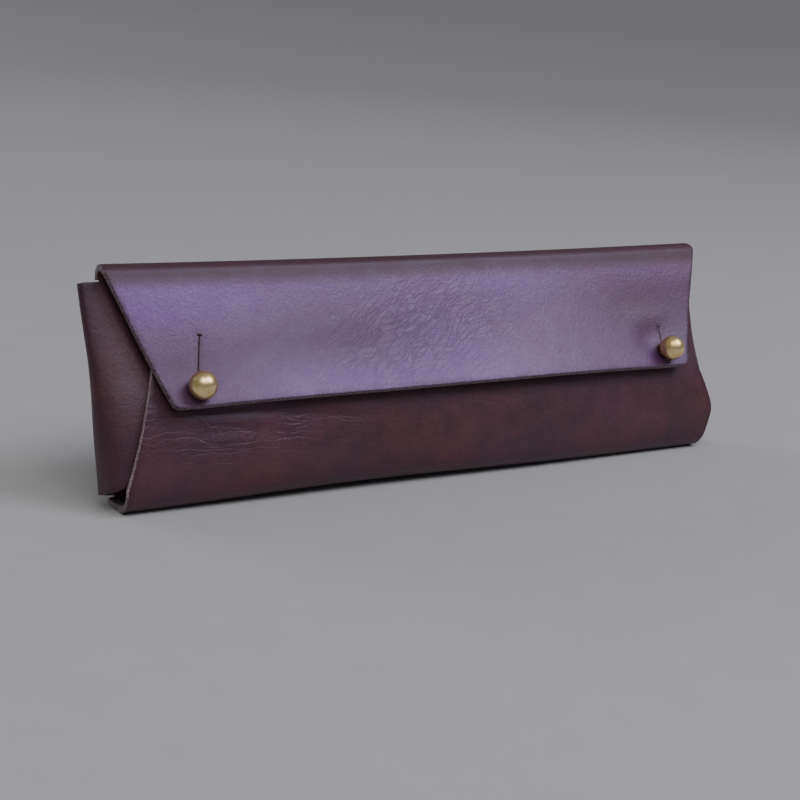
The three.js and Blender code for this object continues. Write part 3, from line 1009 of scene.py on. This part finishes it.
def grain_material():
    """The waxed burgundy grain side, with painted sheen and painted shade in its colour."""
    net = Net("waxed_burgundy_grain")
    place = net.flat()
    sheen_amount, shades = net.attribute("painted_sheen"), net.attribute("shade")
    gap, mask = net.attribute("gap"), net.attribute("crease")
    clouds = net.noise(place, 3.2, 4, 0.55, 0.3)
    mottle = net.noise(place, 14, 5, 0.6, 0.4)
    fine = net.noise(place, 90, 4, 0.6)
    patches = net.math("MULTIPLY_ADD", mottle, 0.45, net.math("MULTIPLY", clouds, 0.55))
    colour = net.mix(net.ramp(patches, 0.34, 0.66), BROWN, RUSSET)
    # Painted sheen: the violet painted reflection of a cool light, mixed into the colour
    sheen_share = net.math("MULTIPLY", sheen_amount, net.ramp(mottle, 0.2, 0.75, 0.78, 1.1), clamp=True)
    colour = net.mix(sheen_share, colour, SHEEN_PAINT)
    colour = net.mix(net.ramp(fine, 0.35, 0.7, 0.0, 0.22), colour, PORES)
    # Painted shade: the colour made darker where the shade attribute says
    colour = net.mix(net.math("MULTIPLY", shades, 0.72), colour, SHADE_PAINT)

    bent = net.warped(place, 9, 0.05)
    on_front = net.attribute("level")
    slanting = net.ridges(bent, -40, (8, 56), 0.05)
    crossing = net.math("MULTIPLY", net.ridges(bent, -6, (7, 50), 0.04), 0.6)
    lines = net.math("MAXIMUM", slanting, crossing)
    lines = net.math("MULTIPLY", lines, net.math("SUBTRACT", 1.0, on_front))
    level = net.ridges(bent, 3, (4, 34), 0.05)
    lines = net.math("MULTIPLY_ADD", level, on_front, lines)
    folds = net.math("MULTIPLY", lines, mask)
    small = net.ridges(place, -30, (26, 90), 0.06)
    folds_small = net.math("MULTIPLY", net.math("MULTIPLY", small, mask), 0.25)
    creases = net.math("MAXIMUM", folds, folds_small)
    # Painted shade in the creases' lines
    colour = net.mix(net.math("MULTIPLY", creases, 0.13), colour, CREASE_SHADE)
    edge = net.ramp(gap, 0.15, 2.2, 1.0, 0.0)
    worn = net.math("MULTIPLY", edge, net.ramp(mottle, 0.3, 0.7, 0.25, 0.7))
    colour = net.mix(worn, colour, WORN)

    pebbles = net.voronoi(net.warped(place, 60, 0.006), 120, "SMOOTH_F1")
    pores = net.voronoi(place, 190)
    pores = net.math("MULTIPLY", net.ramp(pores, 0.0, 0.3), 0.4)
    grain = net.math("MULTIPLY_ADD", pebbles, 0.6, pores)
    soft = net.bump(net.noise(place, 16, 3, 0.5, 0.4), 0.0005, 0.3)
    wrinkled = net.bump(net.math("SUBTRACT", 1.0, creases), 0.0002, 0.7, soft)
    normal = net.bump(grain, 0.0002, 0.75, wrinkled)
    duller = net.math("MULTIPLY_ADD", creases, 0.12, net.math("MULTIPLY", shades, 0.22))
    rough = net.math("ADD", net.ramp(mottle, 0.3, 0.7, 0.36, 0.46), duller)
    return net.set(
        Base_Color=colour, Roughness=rough, Normal=normal, Specular_IOR_Level=0.55,
        Specular_Tint=(0.84, 0.68, 1.0, 1), Coat_Weight=0.28, Coat_Roughness=0.3,
    )


def cut_material():
    """Raw cut edges: pale packed fibres with a grey-violet cast, and a darker copy of them,
    painted shade, off the front panel.
    """
    net = Net("raw_cut_edge")
    place = net.flat()
    fibres = net.noise(place, 150, 5, 0.75)
    patches = net.noise(place, 30, 3)
    shown = net.ramp(fibres, 0.4, 0.62)
    pale = net.mix(shown, linear(104, 78, 88), linear(204, 180, 188))
    shaded_fibres = net.mix(shown, linear(42, 26, 34), linear(150, 128, 140))
    # Painted shade: every cut edge off the front panel takes the darker copy of the colour
    colour = net.mix(net.attribute("level"), shaded_fibres, pale)
    colour = net.mix(net.ramp(patches, 0.4, 0.75, 0.0, 0.45), colour, linear(60, 40, 46))
    return net.set(
        Base_Color=colour, Roughness=net.ramp(fibres, 0.2, 0.8, 0.75, 0.95),
        Normal=net.bump(fibres, 0.00025, 0.8), Sheen_Weight=0.2,
    )


def flesh_material():
    """The suede-like inner side."""
    net = Net("brushed_flesh_side")
    place = net.flat()
    nap = net.noise(net.warped(place, 40, 0.01), 240, 5, 0.7)
    patches = net.noise(place, 8, 4, 0.6, 0.5)
    colour = net.mix(net.ramp(patches, 0.35, 0.68), linear(78, 48, 44), linear(112, 76, 68))
    colour = net.mix(net.ramp(nap, 0.35, 0.7, 0.0, 0.45), colour, linear(58, 34, 34))
    return net.set(
        Base_Color=colour, Roughness=net.ramp(nap, 0.2, 0.8, 0.82, 0.97),
        Normal=net.bump(nap, 0.0003, 0.75), Sheen_Weight=0.3, Sheen_Roughness=0.5,
    )


def brass_material():
    """Satin brass with a slight tarnish and fine turning marks."""
    net = Net("satin_brass")
    place = net.solid()
    tarnish = net.noise(place, 420, 4, 0.6, 0.5)
    speck = net.noise(place, 2600, 3, 0.6)
    colour = net.mix(net.ramp(tarnish, 0.35, 0.68), linear(255, 232, 174), linear(238, 202, 134))
    colour = net.mix(net.ramp(speck, 0.55, 0.8, 0.0, 0.35), colour, linear(140, 104, 58))
    specks = net.ramp(speck, 0.5, 0.8, 0.0, 0.1)
    rough = net.math("ADD", net.ramp(tarnish, 0.3, 0.7, 0.27, 0.37), specks)
    normal = net.bump(speck, 0.00004, 0.35, net.bump(tarnish, 0.00012, 0.3))
    return net.set(Base_Color=colour, Roughness=rough, Normal=normal, Metallic=1.0)


def floor_material():
    net = Net("pale_floor")
    grit = net.noise(net.solid(), 60, 3)
    colour = net.mix(grit, (0.40, 0.40, 0.405, 1), (0.43, 0.43, 0.435, 1))
    return net.set(Base_Color=colour, Roughness=0.85)


LEATHER_LOOKS = [grain_material(), cut_material(), flesh_material()]
BRASS = brass_material()

blank_cut, roll_cut, flap_cut = blank_plate(), roll_plate(), flap_plate()
blank = leather_piece("leather_blank", blank_cut, LEATHER_LOOKS)
roll = leather_piece("roll_back", roll_cut, LEATHER_LOOKS)
flap = leather_piece("flap_front", flap_cut, LEATHER_LOOKS)
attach(blank, "pouch")
blend_between(roll, S_SEAM, S_ROLL_TOP, (True, True))
blend_between(flap, S_ROLL_TOP, PROFILE.roll_end + 1.5, (True, False))
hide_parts("front_panel", "bottom_fold", "back_panel", "left_gusset", "right_gusset")
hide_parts("top_fold")
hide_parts("flap")

stud_y, stud_z = PROFILE.at(S_STUD)
for side, name in ((-1, "left"), (1, "right")):
    centre = (side * STUD_X * MM, (stud_y + SHIFT_Y) * MM, stud_z * MM)
    ball = turned_object(name + "_ball_stud", stud_outline(), BRASS, centre, (0, *STUD_AXIS))
    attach(ball, "pouch")
    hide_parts(name + "_stud_ball")
    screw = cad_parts[name + "_stud_screw"]
    screw.data.materials.clear()
    screw.data.materials.append(BRASS)


# Camera: the photograph's viewing angle
CAMERA_PLACE = (-0.26704, -0.39808, 0.15043)
YAW, PITCH, ROLL = math.radians(32.615), math.radians(15.073), math.radians(4.198)
LENS, SENSOR = 72, 36
towards = Vector((
    math.sin(YAW) * math.cos(PITCH), math.cos(YAW) * math.cos(PITCH), -math.sin(PITCH),
)).normalized()
right = Vector((math.cos(YAW), -math.sin(YAW), 0))
up = right.cross(towards)
right, up = (
    math.cos(ROLL) * right + math.sin(ROLL) * up,
    math.cos(ROLL) * up - math.sin(ROLL) * right,
)
camera = linked(bpy.data.objects.new("camera", bpy.data.cameras.new("camera")))
camera.data.lens, camera.data.sensor_width = LENS, SENSOR
camera.data.clip_start, camera.data.clip_end = 0.01, 20
camera.matrix_world = Matrix((
    (right.x, up.x, -towards.x, CAMERA_PLACE[0]),
    (right.y, up.y, -towards.y, CAMERA_PLACE[1]),
    (right.z, up.z, -towards.z, CAMERA_PLACE[2]),
    (0, 0, 0, 1),
))
bpy.context.scene.camera = camera


# Light: a cool softbox in front at the right, a warmer one above the front and one behind
LIGHTS = {  # name: place from the pouch's middle, size, power, colour
    "key": ((0.93, -0.8, 1.40), (1.0, 1.0), 19, (0.84, 0.82, 1.0)),
    "fill": ((-0.35, -1.05, 1.6), (1.5, 1.1), 15, (1.0, 0.98, 0.93)),
    "behind": ((-1.3, 2.0, 0.9), (1.2, 0.8), 12, (1.0, 0.98, 0.95)),
}
WORLD_COLOUR, WORLD_STRENGTH = (0.62, 0.63, 0.66, 1), 0.36
MIDDLE = (CAD_BOX[0] + CAD_BOX[1]) / 2
for name, (offset, size, power, colour) in LIGHTS.items():
    data = bpy.data.lights.new(name, "AREA")
    data.shape, data.size, data.size_y = "RECTANGLE", size[0], size[1]
    data.energy, data.color = power, colour
    light = linked(bpy.data.objects.new(name, data))
    light.location = MIDDLE + Vector(offset)
    light.rotation_mode = "QUATERNION"
    light.rotation_quaternion = (MIDDLE - light.location).to_track_quat("-Z", "Y")

world = bpy.data.worlds.new("studio")
world.use_nodes = True
world.node_tree.nodes["Background"].inputs["Color"].default_value = WORLD_COLOUR
world.node_tree.nodes["Background"].inputs["Strength"].default_value = WORLD_STRENGTH
bpy.context.scene.world = world


# Floor: a wide pale sheet that sweeps up at its edges, given as (radius, height)
FLOOR = [(0, 0), (600, 0), (1600, 0), (2400, 80), (3000, 400), (3300, 1000)]
floor = turned_object("floor", FLOOR, floor_material(), sides=64)

bpy.context.view_layer.update()
